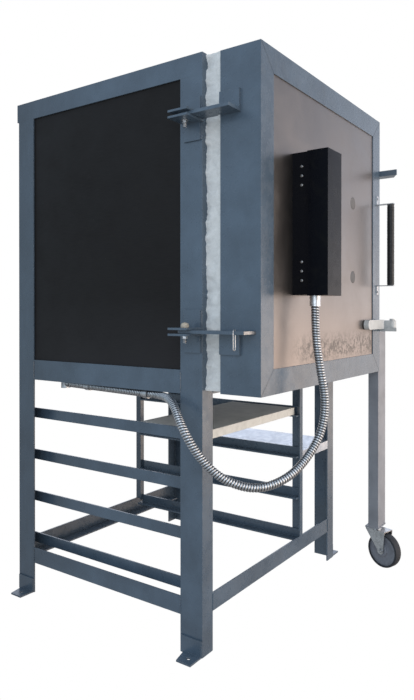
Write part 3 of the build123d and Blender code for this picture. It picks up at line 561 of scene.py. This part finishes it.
# Flexible conduit: routes in millimetres, the strip's sizes in metres
HOSE_ROUTE = [
    (218, -235, 972.7), (218, -235, 890), (222.8, -249.6, 789.1), (234.1, -261.6, 700.3),
    (230.5, -249.5, 614.5), (182.1, -229.4, 550.4), (107.2, -210.7, 507.9), (37.5, -158.8, 483.0),
    (-17.9, -96.5, 504.0), (-51.2, -39.8, 553.6), (-78.3, 8.2, 640.5), (-35.8, 74.6, 706.8),
    (13.17, 146.39, 713.5), (20, 206, 713.5),
]
RUN = [(20, 206, 713.5), (64, 590, 713.5)]
RIB_PITCH = 0.0075
RIB_STEPS = 7
RIB_SHARE = 0.72
GROOVE_RADIUS = 0.0104
RIB_HEIGHT = 0.0016
HOSE_SIDES = 20


def spline_points(name, route):
    """The smooth line of a route, read from its NURBS spline."""
    curve = bpy.data.curves.new(name, "CURVE")
    curve.dimensions = "3D"
    curve.resolution_u = 24
    spline = curve.splines.new("NURBS")
    spline.points.add(len(route) - 1)
    for point, place in zip(spline.points, route):
        point.co = (*at(*place), 1.0)
    spline.order_u = 3
    spline.use_endpoint_u = True
    holder = bpy.data.objects.new(name, curve)
    bpy.context.collection.objects.link(holder)
    bpy.context.view_layer.update()
    line = bpy.data.meshes.new_from_object(holder)
    points = [v.co.copy() for v in line.vertices]
    bpy.data.objects.remove(holder)
    bpy.data.meshes.remove(line)
    bpy.data.curves.remove(curve)
    if (points[0] - at(*route[0])).length > (points[-1] - at(*route[0])).length:
        points.reverse()
    return points


def evenly(points, step):
    """Points at an even step along a line."""
    table = np.array([tuple(p) for p in points])
    run = np.concatenate([[0], np.cumsum(np.linalg.norm(np.diff(table, axis=0), axis=1))])
    count = max(2, round(run[-1] / step) + 1)
    places = np.linspace(0, run[-1], count)
    return [Vector([np.interp(s, run, table[:, i]) for i in range(3)]) for s in places], run[-1]


def ribbed_hose(name, points, body):
    """Interlocked steel strip wound into a hose: each turn is a rounded rib beside a groove, which its
    material darkens with painted shade.
    """
    sides = HOSE_SIDES
    points, length = evenly(points, RIB_PITCH / RIB_STEPS)
    verts, faces, depth = [], [], []
    side = None
    for i, point in enumerate(points):
        along = (points[min(i + 1, len(points) - 1)] - points[max(i - 1, 0)]).normalized()
        if side is None:
            side = frame_for(along)[1]
        side = (side - along * side.dot(along)).normalized()
        up = along.cross(side)
        for k in range(sides):
            angle = 2 * math.pi * k / sides
            turn = (i / RIB_STEPS + k / sides) % 1.0
            rise = min(1.0, max(0.0, 1.5 * math.sin(math.pi * min(1.0, turn / RIB_SHARE))))
            radius = GROOVE_RADIUS + RIB_HEIGHT * rise
            depth.append(rise)
            verts.append(point + (side * math.cos(angle) + up * math.sin(angle)) * radius)
    for i in range(len(points) - 1):
        for k in range(sides):
            n = (k + 1) % sides
            faces.append([i * sides + k, i * sides + n, (i + 1) * sides + n, (i + 1) * sides + k])
    last = (len(points) - 1) * sides
    faces.append(list(range(sides))[::-1])
    faces.append([last + k for k in range(sides)])
    made = mesh_piece(name, verts, faces, HOSE, body)
    groove = made.data.attributes.new("groove", "FLOAT", "POINT")
    groove.data.foreach_set("value", np.array(depth, np.float32))
    return made, length


hose_line = spline_points("hose_line", HOSE_ROUTE)
hose, hose_length = ribbed_hose("hose_free", hose_line, None)
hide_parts("door_conduit")
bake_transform(hose)
run, _ = ribbed_hose("hose_clipped", [at(*RUN[0]), at(*RUN[1])], "kiln")
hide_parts("conduit_run")


# Detail pieces

def dress(name, shape, material, body, slot, *replaced):
    """Add one shaped piece to a body, in place of construction pieces where any are named."""
    made = mesh_piece(name, *shape, material, body)
    made.data.set_sharp_from_angle(angle=SHARP_ANGLE)
    if replaced:
        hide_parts(*replaced)


def line_on_front(a, b, y, width, proud):
    """Thin strip from a to b, points in X and Z, on a face that looks to the front."""
    (ax, az), (bx, bz) = a, b
    along = Vector((bx - ax, bz - az)).normalized()
    across = Vector((-along.y, along.x)) * (width / 2)
    corners = [(ax + across.x, az + across.y), (bx + across.x, bz + across.y),
               (bx - across.x, bz - across.y), (ax - across.x, az - across.y)]
    verts = [at(x, y - proud, z) for x, z in corners] + [at(x, y + proud, z) for x, z in corners]
    faces = [[i, i + 4, (i + 1) % 4 + 4, (i + 1) % 4] for i in range(4)]
    return verts, [[0, 1, 2, 3], [7, 6, 5, 4]] + faces


def rounded_path(points, radius, steps=6):
    """Points of a path whose corners are rounded."""
    points = [Vector(p) for p in points]
    made = [points[0]]
    for before, corner, after in zip(points, points[1:], points[2:]):
        a = corner + (before - corner).normalized() * radius
        b = corner + (after - corner).normalized() * radius
        for i in range(steps + 1):
            t = i / steps
            made.append(a * (1 - t) ** 2 + corner * 2 * t * (1 - t) + b * t ** 2)
    return made + [points[-1]]


# Soft fibre frame, torn along its left edge. Rectangles are left, bottom, right and top.
FIBRE_OUTER = (22, 738, 858, 1670)
FIBRE_INNER = (135, 852.5, 745, 1538.5)
FIBRE_MIDDLE = (440, 1204)
FIBRE_FRONT = -59
FIBRE_STEPS = 200


def around(rectangle):
    """Points in X and Z round a rectangle, from its lower left corner."""
    x0, z0, x1, z1 = rectangle
    corners = [(x0, z0), (x1, z0), (x1, z1), (x0, z1)]
    for i, (ax, az) in enumerate(corners):
        bx, bz = corners[(i + 1) % 4]
        for k in range(FIBRE_STEPS):
            t = k / FIBRE_STEPS
            yield ax + (bx - ax) * t, az + (bz - az) * t


def fibre_frame():
    """The frame's section is carried round and roughened, most on the left edge."""
    section = [(k / 6, FIBRE_FRONT) for k in range(7)]
    section += [(1, FIBRE_FRONT + 16 * j) for j in range(1, 5)]
    section += [(1 - k / 4, 5 - 1.25 * k) for k in range(1, 5)]
    section += [(0, FIBRE_FRONT * j / 6) for j in range(1, 6)]
    middle_x, middle_z = FIBRE_MIDDLE
    verts, faces = [], []
    for (ox, oz), (ix, iz) in zip(around(FIBRE_OUTER), around(FIBRE_INNER)):
        for share, y in section:
            x = ox + (ix - ox) * share
            z = oz + (iz - oz) * share
            rough = noise.noise(Vector((x / 9, y / 9, z / 9)))
            coarse = noise.noise(Vector((x / 60, y / 30, z / 28)))
            if share == 0 and x < 30:
                back = 1 + y / -FIBRE_FRONT
                x += (2 + 3 * back) * rough + (7 * back + 1) * coarse - 2 * back
            elif share == 0:
                on_side = 740 < z < 1668
                x += (2 * rough + coarse) * (1 if x > middle_x else -1)
                z += (2 * rough + coarse) * (1 if z > middle_z else -1) * (0 if on_side else 1)
            elif share == 1 and y < 4:
                x += 1.2 * rough
                z += 1.2 * rough
            if y <= FIBRE_FRONT:
                y += 1.5 * abs(rough) + (2.5 if share == 0 else 0)
            verts.append(at(x, y, z))
    rows = 4 * FIBRE_STEPS
    width = len(section)
    for i in range(rows):
        j = (i + 1) % rows
        for k in range(width):
            n = (k + 1) % width
            faces.append([i * width + k, i * width + n, j * width + n, j * width + k])
    return verts, faces


dress("fibre_frame", fibre_frame(), FIBRE, "kiln", "fibre", "fibre_gasket")


# Heating coils wound from wire, laid in their grooves
COIL_RADIUS = 0.0065
COIL_WIRE = 0.0011
COIL_PITCH = 0.0055
COIL_STEPS = 9
COIL_CORNER = 0.014
TAIL_RADIUS = 0.003

# How far a coil lies under its groove's middle, and where the coils run, in millimetres
COIL_SAG = 2.2
WALL_ROWS = [907.5 + 115.2 * i for i in range(6)]
WALL_DEPTHS = (60, 539, 545)
DOOR_ROWS = (1030, 1145, 1260, 1375)
DOOR_COIL_Y = -66.5


def wound(path):
    """Wire wound round a path, in metres."""
    points, _ = evenly(rounded_path(path, COIL_CORNER), COIL_PITCH / COIL_STEPS)
    side = None
    wire = []
    for i, point in enumerate(points):
        along = (points[min(i + 1, len(points) - 1)] - points[max(i - 1, 0)]).normalized()
        if side is None:
            side = frame_for(along)[1]
        side = (side - along * side.dot(along)).normalized()
        angle = 2 * math.pi * i / COIL_STEPS
        out = side * math.cos(angle) + along.cross(side) * math.sin(angle)
        wire.append(point + out * (COIL_RADIUS - COIL_WIRE))
    return tube_shape(wire, COIL_WIRE, 5)


def coils(rows, turn, end, tail, outside):
    """Coils in pairs of grooves, from the open end to the turn and back, with straight tails."""
    shapes = []
    for low, high in zip(rows[::2], rows[1::2]):
        low -= COIL_SAG
        high -= COIL_SAG
        shapes.append(wound([at(*end, low), at(*turn, low), at(*turn, high), at(*end, high)]))
        for z in (low, high):
            shapes.append(tube_shape([at(*tail, z), at(*outside, z)], TAIL_RADIUS, 8))
    return shapes


front, tail, back = WALL_DEPTHS
wall_coils = [shape for x, outside in ((128, 11.2), (752, 868.8))
              for shape in coils(WALL_ROWS, (x, front), (x, back), (x, tail), (outside, tail))]
door_coils = coils(DOOR_ROWS, (730, DOOR_COIL_Y), (226, DOOR_COIL_Y), (232, DOOR_COIL_Y), (232, -207))
dress("wall_coils", join_shapes(*wall_coils), WIRE, "kiln", "wire", "wall_elements")
dress("door_coils", join_shapes(*door_coils), WIRE, "door", "wire", "door_elements")


# Screws
def pan_head(place, axis, radius, height):
    """Low domed screw head."""
    profile = [(0, radius), (height * 0.35, radius), (height * 0.75, radius * 0.82),
               (height, radius * 0.4)]
    return turned_shape(place, axis, profile, 20)


def slot_shade_boxes(place, radius, height, direction):
    """Cross of two near-black boxes in the head of a screw that looks along -X or +X: painted shade for
    its slots.
    """
    x, y, z = place
    x0 = x + direction * (height - 0.5)
    x1 = x + direction * (height + 0.1)
    long = radius * 0.55
    thin = radius * 0.12
    return [box_shape((min(x0, x1), y - a, z - b), (max(x0, x1), y + a, z + b), 0)
            for a, b in ((long, thin), (thin, long))]


SCREW_RADIUS = 4.5
BOX_SCREWS = [(181.7, -211.5, z) for z in (1044, 1070, 1096, 1310, 1336, 1362)]
COVER_SCREWS = [(1030, y, z) for y in (160, 490) for z in (960, 1150, 1340)]


def dress_screws(name, places, direction, height, body, *replaced):
    """Pan heads that look along -X or +X, with painted shade for their slots."""
    heads = [pan_head(p, (direction, 0, 0), SCREW_RADIUS, height) for p in places]
    # Painted shade: near-black boxes stand for the shade in the slots.
    slot_shades = [box for p in places for box in slot_shade_boxes(p, SCREW_RADIUS, height, direction)]
    dress(name + "_heads", join_shapes(*heads), BARE, body, "steel", *replaced)
    dress(name + "_slots", join_shapes(*slot_shades), ELECTRICS, body, "electrics")


dress_screws("box_screw", BOX_SCREWS, -1, 3.5, "door", "element_box_screws")
dress_screws("cover_screw", COVER_SCREWS, 1, 3, "kiln")


# Hinges: washers, threads, a cap on the lower bolt and a hairpin through the lower strap
HINGE_AXIS = (-40, 30)
HINGE_HEIGHTS = (1490, 903)
THREAD_PITCH = 1.2


def thread(z0, z1):
    """Threaded end of a hinge bolt, as turned rings."""
    profile = [(0, 4.2)]
    for i in range(int((z1 - z0) / THREAD_PITCH)):
        profile += [(i * THREAD_PITCH + 0.3, 5.15), (i * THREAD_PITCH + 0.9, 4.85)]
    return turned_shape((*HINGE_AXIS, z0), (0, 0, 1), profile + [(z1 - z0, 4.9)], 20)


def washer(z0, z1):
    """Flat washer round the hinge axis."""
    thick = z1 - z0
    profile = [(0, 10), (0.2, 10.4), (thick - 0.2, 10.4), (thick, 10), (thick, 5), (0, 5)]
    return turned_shape((*HINGE_AXIS, z0), (0, 0, 1), profile, 32, True)


threads = [thread(z - 31.4, z - 19) for z in HINGE_HEIGHTS]
washers = [washer(z - 12.2, z - 11) for z in HINGE_HEIGHTS]
dress("hinge_threads", join_shapes(*threads, *washers), ZINC, "kiln", "zinc")
cap_profile = [(0, 11.2), (1, 11.4), (7, 11.2), (11, 9.2), (13, 5.6), (13.8, 1.5)]
dress("hinge_cap", turned_shape((*HINGE_AXIS, 914), (0, 0, 1), cap_profile), CAP, "kiln", "latch_metal")
hairpin = [at(x, -140, z) for x, z in ((-62, 884), (-62, 910), (-52, 910), (-52, 858), (-62, 858),
                                       (-62, 884))]
dress("strap_hairpin", tube_shape(rounded_path(hairpin, 0.0045), 0.0013, 10),
      ZINC, "door", "zinc")
dress("strap_bare_edge", box_shape((-59.5, -170.4, 898.9), (-0.5, -169.7, 907.1), 0), BARE, "door",
      "steel")
worn = [box_shape((-0.15, 0.3, z0), (0.05, 1.5, z1), 0) for z0, z1 in ((846, 896), (916, 961))]
dress("worn_post_edge", join_shapes(*worn), BARE, "kiln", "steel")


# Corner joints of the door's trim, drawn as painted shade
def corner_joints():
    """Near-black lines of painted shade from each outer corner, 2 mm in, to the trim's inner corner."""
    x0, x1, z0, z1, t, y = 0, 877, 735, 1660, 68, -185.5
    lines = []
    for x, dx in ((x0, 1), (x1, -1)):
        for z, dz in ((z0, 1), (z1, -1)):
            outer, inner = (x + dx * 2, z + dz * 2), (x + dx * t, z + dz * t)
            lines.append(line_on_front(outer, inner, y, 0.9, 0.12))
    return join_shapes(*lines)


dress("trim_joints", corner_joints(), SEAM_SHADOW, "door", "frame_paint")


# Handle grip with rings moulded round it
GRIP_RINGS = 51
GRIP_PITCH = 5.5


def grip_shape():
    """Grip turned with its rings, from its lower end up."""
    profile = [(0, 10.5), (1.2, 12.4)]
    for i in range(GRIP_RINGS):
        base = 5 + i * GRIP_PITCH
        profile += [(base, 12.1), (base + 0.7, 13), (base + 3.4, 13), (base + 4.1, 12.1)]
    profile += [(292.8, 12.4), (294, 10.5)]
    return turned_shape((850, -236.5, 1053), (0, 0, 1), profile, 28)


dress("ribbed_grip", grip_shape(), GRIP, "door", "grip", "handle_grip")


# Ceramic plugs with chamfered faces
PLUG_PROFILE = [(0, 18.2), (0.3, 19), (1.8, 20.1), (60, 20.0), (116.5, 19.4)]
for label, z in (("upper", 1324), ("lower", 1074)):
    dress(label + "_plug_shape", turned_shape((625, -183, z), (0, 1, 0), PLUG_PROFILE, 40), PLUG,
          label + "_plug", "plug", label + "_peep_plug")


# Caster wheel: rubber tyre on a moulded core
WHEEL_PLACE = (903.97, -195.95, 63.5)
CASTER_TURN = math.radians(-16)
WHEEL_AXIS = (math.cos(CASTER_TURN), math.sin(CASTER_TURN), 0)
half_core = [(-20, 8), (-20, 19), (-18.6, 21), (-13, 22), (-11.8, 25), (-11.4, 43), (-12.8, 45.5),
             (-12.8, 50), (-11.4, 52.4), (-11.8, 55.7)]
half_tyre = [(-15.4, 55.5), (-16, 57), (-16, 60), (-14.4, 62.3), (-10.5, 63.4)]


def mirrored(profile):
    """A profile with its other half, mirrored across the middle of the wheel."""
    return profile + [(-along, radius) for along, radius in reversed(profile)]


dress("wheel_tyre", turned_shape(WHEEL_PLACE, WHEEL_AXIS, mirrored(half_tyre), 80, True), TYRE,
      "wheel", "tyre", "caster_wheel")
dress("wheel_core", turned_shape(WHEEL_PLACE, WHEEL_AXIS, mirrored(half_core), 64), HUB,
      "wheel", "electrics")


# Weld beads
BEAD_RADIUS = 0.0022
BEAD_STEP = 0.003


def bead(a, b):
    """Slightly wavy weld bead between two points in millimetres."""
    a, b = at(*a), at(*b)
    count = max(4, round((b - a).length / BEAD_STEP))
    points = []
    for i in range(count + 1):
        uneven = noise.noise(Vector((i * 0.7, a.z * 9, a.y * 9)))
        wave = 0.0007 * math.sin(i * 2.4) + 0.0004 * uneven
        points.append(a.lerp(b, i / count) + Vector((wave, 0, wave * 0.4)))
    return tube_shape(points, BEAD_RADIUS, 7)


def weld_beads():
    """Beads at the hinge lugs, the foot clips and the rails' ends."""
    beads = []
    for z in HINGE_HEIGHTS:
        for near, far in ((z + 12, z + 59), (z - 59, z - 12)):
            beads += [bead((-0.8, y, near), (-0.8, y, far)) for y in (60.4, 3.6)]
    for x in (-1, 881):
        beads += [bead((x, y, 3), (x, y, 46)) for y in (2, 72, 706, 776)]
    for x in (51.6, 828.4):
        beads += [bead((x, -0.3, 116), (x, -0.3, 160)), bead((x, -0.3, 730), (x, -0.3, 789))]
    for low, high in ((106, 150), (730, 789)):
        beads += [bead((-0.3, y, low), (-0.3, y, high)) for y in (76.4, 703.6)]
    return join_shapes(*beads)


dress("weld_beads", weld_beads(), PAINT, "kiln", "frame_paint")


# Controller face and switch pointer
dress("display_window", box_shape((1035.8, 291, 1270), (1036.7, 359, 1302)), SCREEN,
      "kiln", "electrics")
keys = [box_shape((1035.8, y, 1234), (1037.4, y + 10, 1242), 0.0006) for y in (294, 312, 330, 348)]
dress("controller_keys", join_shapes(*keys), HUB, "kiln", "electrics")
dress("switch_pointer", box_shape((1055.9, 324, 1088), (1056.6, 326, 1103), 0), HUB,
      "switch", "knob")


# Materials of the construction pieces that stay as they are
LOOKS = {
    PAINT: ("front_left_post", "front_right_post", "rear_left_post", "rear_right_post", "foot_clips",
            "top_ring", "base_side_rails", "base_cross_rails", "lower_left_rail",
            "lower_cross_rails", "rack_uprights", "left_shelf_runners", "right_shelf_runners",
            "hinge_lugs", "door_hinge_straps"),
    LEG_PAINT: ("door_leg",),
    ARM_PAINT: ("latch_arms",),
    DOOR_PAINT: ("door_frame",),
    COVER: ("left_cover", "right_cover", "rear_cover", "top_cover"),
    DOOR_STEEL: ("door_panel",),
    GALVANISED: ("side_tray", "floor_pan"),
    BRICK: ("hearth_bricks", "left_bricks", "right_bricks", "rear_bricks", "roof_bricks",
            "door_bricks"),
    CHINA: ("thermocouple",),
    ZINC: ("hinge_bolts", "conduit_elbow", "conduit_clamps", "conduit_connector", "caster_fork",
           "handle_brackets"),
    CABINET: ("control_cabinet", "cabinet_cover"),
    BLACK: ("element_box_base", "element_box_cover"),
    ELECTRICS: ("contactors", "controller", "power_switch", "power_gland"),
    LATCH: ("latch_lever", "latch_keeper"),
    SHELF: ("stored_shelf",),
}
for look, names in LOOKS.items():
    for name in names:
        made = nodes[name]
        made.data.materials.clear()
        made.data.materials.append(look)


# Camera and light. The background comes from the world.
CAMERA_PLACE = (-1.8448, -1.3776, 0.9591)
CAMERA_FORWARD = (0.8158, 0.5783, -0.0049)
CAMERA_RIGHT = (0.5783, -0.8158, 0)
WORLD_STRENGTH = 3.0


def add_camera():
    camera = bpy.data.cameras.new("camera")
    camera.sensor_fit = "VERTICAL"
    camera.sensor_height = 24
    camera.lens = 21.475
    camera.shift_x = 0.0055
    camera.shift_y = -0.0513
    camera.clip_end = 50
    holder = bpy.data.objects.new("camera", camera)
    bpy.context.collection.objects.link(holder)
    forward = Vector(CAMERA_FORWARD).normalized()
    right = Vector(CAMERA_RIGHT).normalized()
    up = right.cross(forward)
    turn = Matrix((right, up, -forward)).transposed().to_4x4()
    holder.matrix_world = Matrix.Translation(CAMERA_PLACE) @ turn
    bpy.context.scene.camera = holder


def add_light(name, place, aim, size, power, colour):
    lamp = bpy.data.lights.new(name, "AREA")
    lamp.shape = "RECTANGLE"
    lamp.size, lamp.size_y = size
    lamp.energy = power
    lamp.color = colour
    holder = bpy.data.objects.new(name, lamp)
    bpy.context.collection.objects.link(holder)
    holder.location = place
    holder.rotation_euler = (Vector(aim) - Vector(place)).to_track_quat("-Z", "Y").to_euler()


def add_world():
    """White where it is seen directly, and dim surroundings for light and reflections.

    They have bright warm ground in front with shade above and below it, blue sky to the left and
    a pale sky behind.
    """
    world = bpy.data.worlds.new("surroundings")
    bpy.context.scene.world = world
    world.use_nodes = True
    s = Nodes(world.node_tree)
    direction = s.node("ShaderNodeTexCoord").outputs["Generated"]

    def by_height(*stops):
        """Colours by height of direction, from -1 straight down to 1 straight up."""
        return s.ramp(up.outputs[0], *[(height * 0.5 + 0.5, tuple(c / WORLD_STRENGTH for c in colour))
                                       for height, colour in stops])

    def toward(side, low, high):
        """How much a direction looks toward a side, from 0 to 1."""
        dot = s.node("ShaderNodeVectorMath", operation="DOT_PRODUCT")
        s.put(dot.inputs[0], direction)
        s.put(dot.inputs[1], side)
        share = s.node("ShaderNodeMapRange", interpolation_type="SMOOTHSTEP")
        s.put(share.inputs["Value"], dot.outputs["Value"])
        s.put(share.inputs["From Min"], low)
        s.put(share.inputs["From Max"], high)
        return share.outputs[0]

    up = s.node("ShaderNodeMath", operation="MULTIPLY_ADD")
    s.put(up.inputs[0], s.part(direction, 2))
    s.put(up.inputs[1], 0.5)
    s.put(up.inputs[2], 0.5)
    front = by_height((-1, (0.30, 0.27, 0.25)), (-0.26, (0.36, 0.33, 0.33)),
                      (-0.19, (3.0, 2.45, 2.0)), (0.02, (2.5, 2.15, 1.95)),
                      (0.10, (0.8, 0.76, 0.8)), (0.22, (0.24, 0.24, 0.29)), (1, (0.5, 0.56, 0.66)))
    left = by_height((-1, (0.33, 0.31, 0.31)), (-0.25, (0.42, 0.46, 0.49)),
                     (0.0, (0.5, 0.62, 0.72)), (0.3, (0.5, 0.61, 0.74)), (1, (0.62, 0.72, 0.85)))
    behind = by_height((-1, (0.35, 0.34, 0.33)), (-0.05, (0.7, 0.72, 0.76)),
                       (0.06, (1.6, 1.65, 1.8)), (0.5, (1.0, 1.1, 1.3)), (1, (0.62, 0.72, 0.9)))
    colour = s.mix(toward((0.816, -0.578, 0), -0.1, 0.45), left, front)
    colour = s.mix(toward((0.816, 0.578, 0), 0.3, 0.75), colour, behind)
    around = s.node("ShaderNodeBackground")
    s.put(around.inputs["Color"], colour)
    s.put(around.inputs["Strength"], WORLD_STRENGTH)
    seen = s.node("ShaderNodeBackground")
    s.put(seen.inputs["Color"], (1, 1, 1))
    either = s.node("ShaderNodeMixShader")
    s.put(either.inputs[0], s.node("ShaderNodeLightPath").outputs["Is Camera Ray"])
    s.put(either.inputs[1], around.outputs[0])
    s.put(either.inputs[2], seen.outputs[0])
    s.put(s.node("ShaderNodeOutputWorld").inputs["Surface"], either.outputs[0])


add_camera()
add_world()
add_light("front_key", (0.6, -3.6, 1.6), (0, 0, 1.0), (3.0, 2.4), 55, (1.0, 0.93, 0.86))
add_light("left_fill", (-3.0, -1.6, 1.7), (-0.3, -0.4, 0.9), (2.0, 2.0), 26, (0.88, 0.93, 1.0))
bpy.context.scene.view_settings.view_transform = "Standard"
